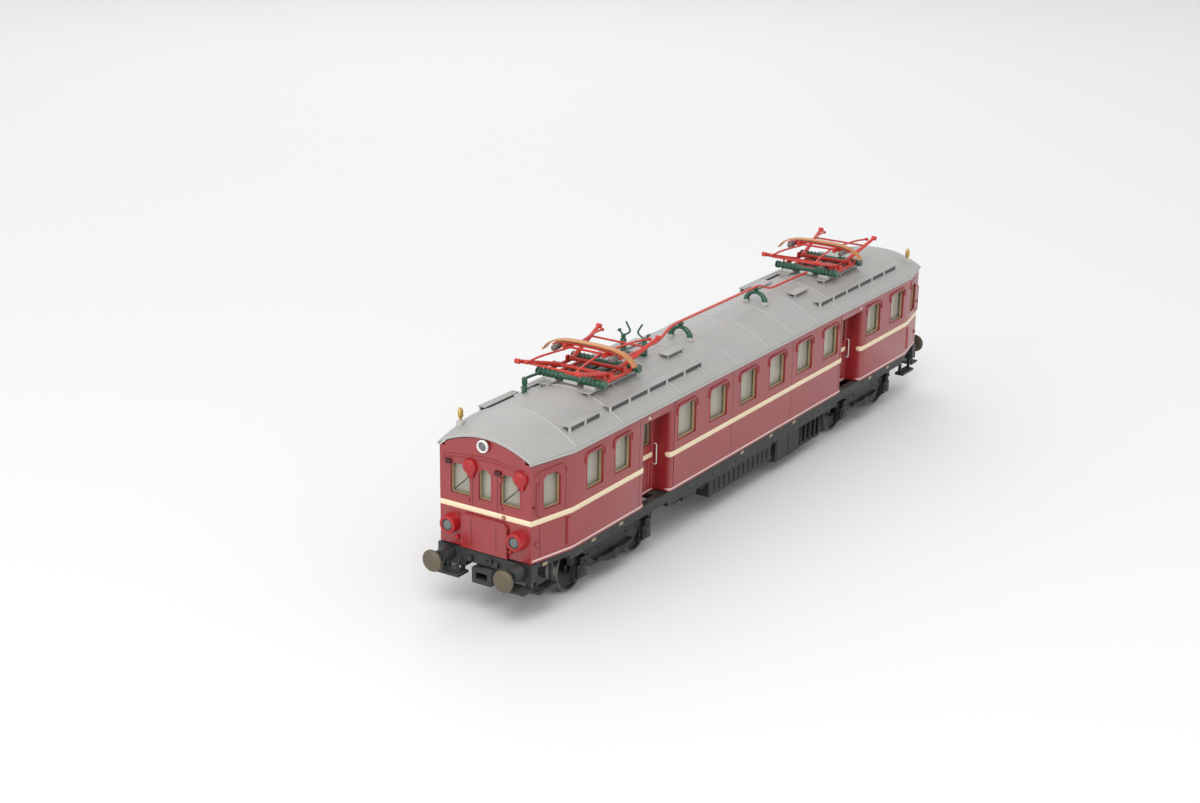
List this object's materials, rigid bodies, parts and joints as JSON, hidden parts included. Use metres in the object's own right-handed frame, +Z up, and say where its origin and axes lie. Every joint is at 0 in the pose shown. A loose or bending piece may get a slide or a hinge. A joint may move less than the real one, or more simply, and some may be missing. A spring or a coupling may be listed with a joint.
{
  "type": "model electric railcar",
  "caption": "Scale model electric railcar with a wine-red body, recessed entrances, folding roof pantographs, swivelling bogies and turning wheelsets.",
  "frame": {"origin": "centre of the car's length and width, at the bottom of the wheel flanges", "axes": "+X along the car towards its rear cab, +Y to its left side, +Z up"},
  "size_m": [0.221, 0.0324, 0.0548],
  "materials": {
    "wine_red_plastic": "semi-gloss moulded plastic",
    "roof_grey_plastic": "satin paint",
    "frame_grey": "matt paint on die-cast metal",
    "frame_plastic": "matt moulded plastic",
    "clear_plastic": "clear moulded plastic",
    "seat_plastic": "matt moulded plastic",
    "white_plastic": "satin",
    "brass": "turned",
    "insulator_green": "glossy",
    "pantograph_red": "satin paint",
    "copper": "rubbed bare metal",
    "buffer_metal": "dull bronze-grey paint",
    "wheel_steel": "blackened, bright treads",
    "steel": "bare"
  },
  "bodies": {
    "railcar": {"body_front": "wine_red_plastic", "body_rear": "wine_red_plastic", "saloon_side_right": "wine_red_plastic", "saloon_side_left": "wine_red_plastic", "roof": "roof_grey_plastic", "walkway_front_right": "roof_grey_plastic", "walkway_rear_right": "roof_grey_plastic", "walkway_front_left": "roof_grey_plastic", "walkway_rear_left": "roof_grey_plastic", "headlight_ring_front": "white_plastic", "light_guide_front": "clear_plastic", "whistle_front": "brass", "glazing_front": "clear_plastic", "headlight_ring_rear": "white_plastic", "light_guide_rear": "clear_plastic", "whistle_rear": "brass", "glazing_rear": "clear_plastic", "seat_tub": "seat_plastic", "underframe": "frame_grey", "battery_box_right": "frame_plastic", "switch_cabinet_right": "frame_plastic", "battery_box_left": "frame_plastic", "switch_cabinet_left": "frame_plastic", "buffer_front_right": "buffer_metal", "buffer_front_left": "buffer_metal", "buffer_rear_right": "buffer_metal", "buffer_rear_left": "buffer_metal", "motor_frame": "steel", "pantograph_insulators_front": "insulator_green", "pantograph_base_front": "pantograph_red", "pantograph_insulators_rear": "insulator_green", "pantograph_base_rear": "pantograph_red", "lightning_arrester": "insulator_green", "conductor_support_front": "insulator_green", "conductor_support_rear": "insulator_green", "roof_conductor": "pantograph_red"},
    "bogie_front": {"bogie_frame_front": "frame_grey", "keeper_plate_front": "frame_plastic"},
    "wheelset_front_outer": {"wheelset_front_outer": "wheel_steel"},
    "wheelset_front_inner": {"wheelset_front_inner": "wheel_steel"},
    "coupler_front": {"coupler_pocket_front": "frame_plastic"},
    "lower_arm_front_outer": {"lower_arm_front_outer": "pantograph_red"},
    "upper_arm_front_outer": {"upper_arm_front_outer": "pantograph_red"},
    "lower_arm_front_inner": {"lower_arm_front_inner": "pantograph_red"},
    "upper_arm_front_inner": {"upper_arm_front_inner": "pantograph_red"},
    "pantograph_head_front": {"head_carrier_front": "pantograph_red", "collector_strip_front": "copper"},
    "bogie_rear": {"bogie_frame_rear": "frame_grey", "keeper_plate_rear": "frame_plastic"},
    "wheelset_rear_outer": {"wheelset_rear_outer": "wheel_steel"},
    "wheelset_rear_inner": {"wheelset_rear_inner": "wheel_steel"},
    "coupler_rear": {"coupler_pocket_rear": "frame_plastic"},
    "lower_arm_rear_outer": {"lower_arm_rear_outer": "pantograph_red"},
    "upper_arm_rear_outer": {"upper_arm_rear_outer": "pantograph_red"},
    "lower_arm_rear_inner": {"lower_arm_rear_inner": "pantograph_red"},
    "upper_arm_rear_inner": {"upper_arm_rear_inner": "pantograph_red"},
    "pantograph_head_rear": {"head_carrier_rear": "pantograph_red", "collector_strip_rear": "copper"},
    "motor_spindle": {"motor_spindle": "brass"},
    "worm_shaft": {"worm_shaft": "steel"}
  },
  "joints": [
    {"name": "motor_spin", "type": "hinge", "parent": "railcar", "child": "motor_spindle", "pos_m": [0, 0, 0.0223], "axis": [1, 0, 0], "continuous": true},
    {"name": "bogie_front_swivel", "type": "hinge", "parent": "railcar", "child": "bogie_front", "pos_m": [-0.0685, 0, 0.0115], "axis": [0, 0, 1], "range_deg": [-7, 7]},
    {"name": "coupler_front_swing", "type": "hinge", "parent": "railcar", "child": "coupler_front", "pos_m": [-0.0925, 0, 0.0095], "axis": [0, 0, 1], "range_deg": [-12, 12]},
    {"name": "bogie_rear_swivel", "type": "hinge", "parent": "railcar", "child": "bogie_rear", "pos_m": [0.0685, 0, 0.0115], "axis": [0, 0, 1], "range_deg": [-7, 7]},
    {"name": "coupler_rear_swing", "type": "hinge", "parent": "railcar", "child": "coupler_rear", "pos_m": [0.0925, 0, 0.0095], "axis": [0, 0, 1], "range_deg": [-12, 12]},
    {"name": "worm_spin", "type": "hinge", "parent": "bogie_front", "child": "worm_shaft", "pos_m": [-0.0685, 0, 0.0223], "axis": [1, 0, 0], "continuous": true},
    {"name": "wheelset_front_outer_spin", "type": "hinge", "parent": "bogie_front", "child": "wheelset_front_outer", "pos_m": [-0.08285, 0, 0.00662], "axis": [0, 1, 0], "continuous": true},
    {"name": "wheelset_front_inner_spin", "type": "hinge", "parent": "bogie_front", "child": "wheelset_front_inner", "pos_m": [-0.05415, 0, 0.00662], "axis": [0, 1, 0], "continuous": true},
    {"name": "wheelset_rear_outer_spin", "type": "hinge", "parent": "bogie_rear", "child": "wheelset_rear_outer", "pos_m": [0.08285, 0, 0.00662], "axis": [0, 1, 0], "continuous": true},
    {"name": "wheelset_rear_inner_spin", "type": "hinge", "parent": "bogie_rear", "child": "wheelset_rear_inner", "pos_m": [0.05415, 0, 0.00662], "axis": [0, 1, 0], "continuous": true},
    {"name": "pantograph_front_raise", "type": "hinge", "parent": "railcar", "child": "lower_arm_front_outer", "pos_m": [-0.06355, 0, 0.0488], "axis": [0, 1, 0], "range_deg": [0, 43]},
    {"name": "lower_arm_front_inner_swing", "type": "hinge", "parent": "railcar", "child": "lower_arm_front_inner", "pos_m": [-0.05745, 0, 0.0488], "axis": [0, 1, 0], "range_deg": [-43, 0]},
    {"name": "upper_arm_front_outer_swing", "type": "hinge", "parent": "lower_arm_front_outer", "child": "upper_arm_front_outer", "pos_m": [-0.0769, 0, 0.05275], "axis": [0, 1, 0], "range_deg": [-96.75, 0]},
    {"name": "upper_arm_front_inner_swing", "type": "hinge", "parent": "lower_arm_front_inner", "child": "upper_arm_front_inner", "pos_m": [-0.0441, 0, 0.05275], "axis": [0, 1, 0], "range_deg": [0, 96.75]},
    {"name": "pantograph_head_front_tilt", "type": "hinge", "parent": "upper_arm_front_outer", "child": "pantograph_head_front", "pos_m": [-0.06205, 0, 0.0532], "axis": [0, 1, 0], "range_deg": [0, 53.75]},
    {"name": "pantograph_rear_raise", "type": "hinge", "parent": "railcar", "child": "lower_arm_rear_inner", "pos_m": [0.05745, 0, 0.0488], "axis": [0, 1, 0], "range_deg": [0, 43]},
    {"name": "lower_arm_rear_outer_swing", "type": "hinge", "parent": "railcar", "child": "lower_arm_rear_outer", "pos_m": [0.06355, 0, 0.0488], "axis": [0, 1, 0], "range_deg": [-43, 0]},
    {"name": "upper_arm_rear_inner_swing", "type": "hinge", "parent": "lower_arm_rear_inner", "child": "upper_arm_rear_inner", "pos_m": [0.0441, 0, 0.05275], "axis": [0, 1, 0], "range_deg": [-96.75, 0]},
    {"name": "upper_arm_rear_outer_swing", "type": "hinge", "parent": "lower_arm_rear_outer", "child": "upper_arm_rear_outer", "pos_m": [0.0769, 0, 0.05275], "axis": [0, 1, 0], "range_deg": [0, 96.75]},
    {"name": "pantograph_head_rear_tilt", "type": "hinge", "parent": "upper_arm_rear_inner", "child": "pantograph_head_rear", "pos_m": [0.05895, 0, 0.0532], "axis": [0, 1, 0], "range_deg": [0, 53.75]}
  ],
  "couplings": [
    {"joint": "worm_spin", "follows": "motor_spin", "ratio": 1},
    {"joint": "wheelset_front_outer_spin", "follows": "motor_spin", "ratio": 0.0667},
    {"joint": "wheelset_front_inner_spin", "follows": "motor_spin", "ratio": 0.0667},
    {"joint": "lower_arm_front_inner_swing", "follows": "pantograph_front_raise", "ratio": -1},
    {"joint": "upper_arm_front_outer_swing", "follows": "pantograph_front_raise", "ratio": -2.25},
    {"joint": "upper_arm_front_inner_swing", "follows": "pantograph_front_raise", "ratio": 2.25},
    {"joint": "pantograph_head_front_tilt", "follows": "pantograph_front_raise", "ratio": 1.25},
    {"joint": "lower_arm_rear_outer_swing", "follows": "pantograph_rear_raise", "ratio": -1},
    {"joint": "upper_arm_rear_inner_swing", "follows": "pantograph_rear_raise", "ratio": -2.25},
    {"joint": "upper_arm_rear_outer_swing", "follows": "pantograph_rear_raise", "ratio": 2.25},
    {"joint": "pantograph_head_rear_tilt", "follows": "pantograph_rear_raise", "ratio": 1.25}
  ]
}
